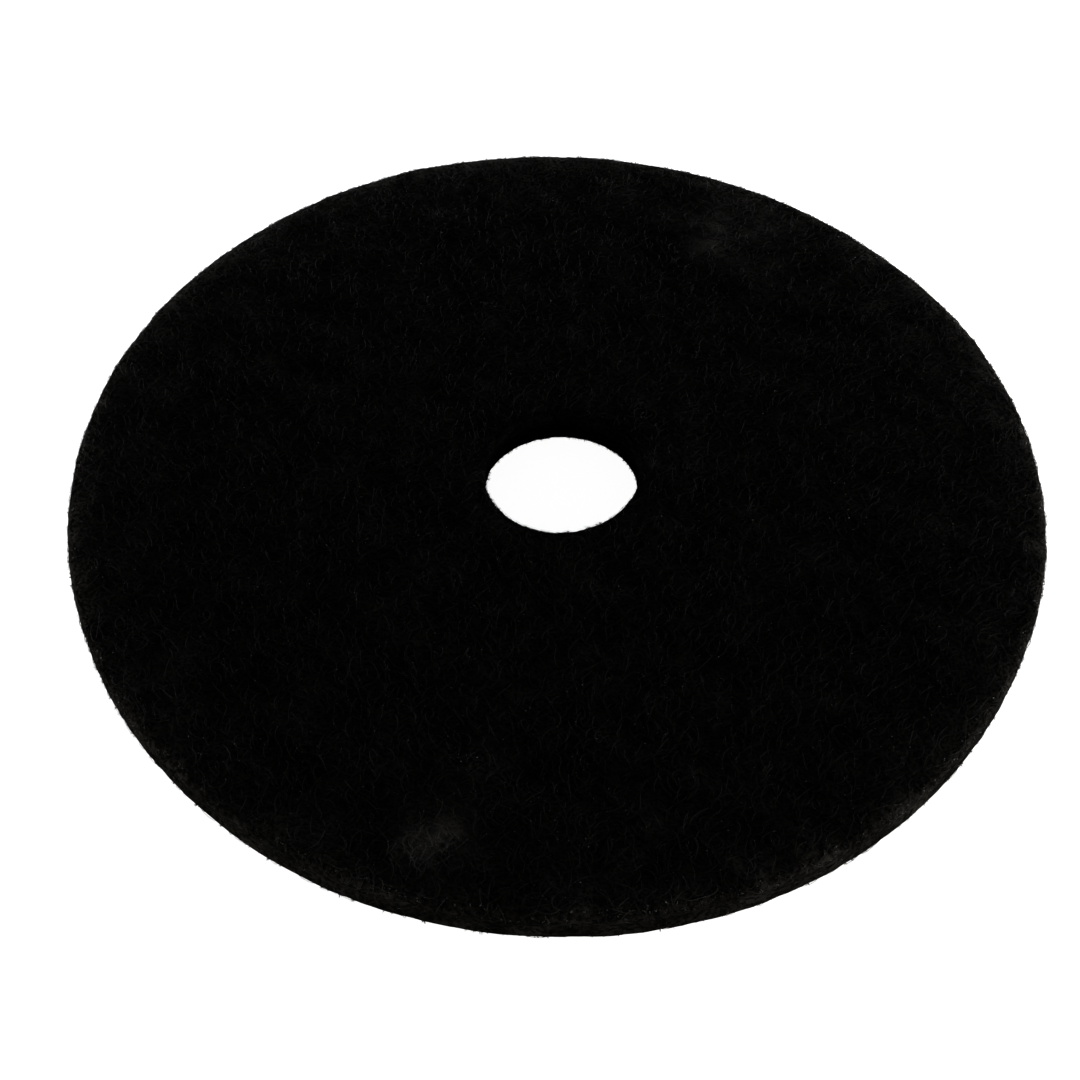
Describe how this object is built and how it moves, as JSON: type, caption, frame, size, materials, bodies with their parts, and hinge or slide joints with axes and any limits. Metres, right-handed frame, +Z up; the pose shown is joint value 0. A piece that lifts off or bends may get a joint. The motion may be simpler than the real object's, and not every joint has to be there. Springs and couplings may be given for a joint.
{
  "type": "floor polishing pad",
  "caption": "Flat round pad of black non-woven fibre with a round centre hole, driven over floors by a rotary machine to polish or strip them.",
  "frame": {"origin": "middle of the face that lies on the floor", "axes": "+Z up along the pad's turning axis, towards the face that the machine's driver grips; X and Y in the floor plane, with -Y towards the picture's viewer"},
  "size_m": [0.508, 0.508, 0.02],
  "materials": {
    "fibre_mat": "matt black non-woven nylon fibre bonded with black resin"
  },
  "bodies": {
    "root": {"pad": "fibre_mat"}
  },
  "joints": []
}
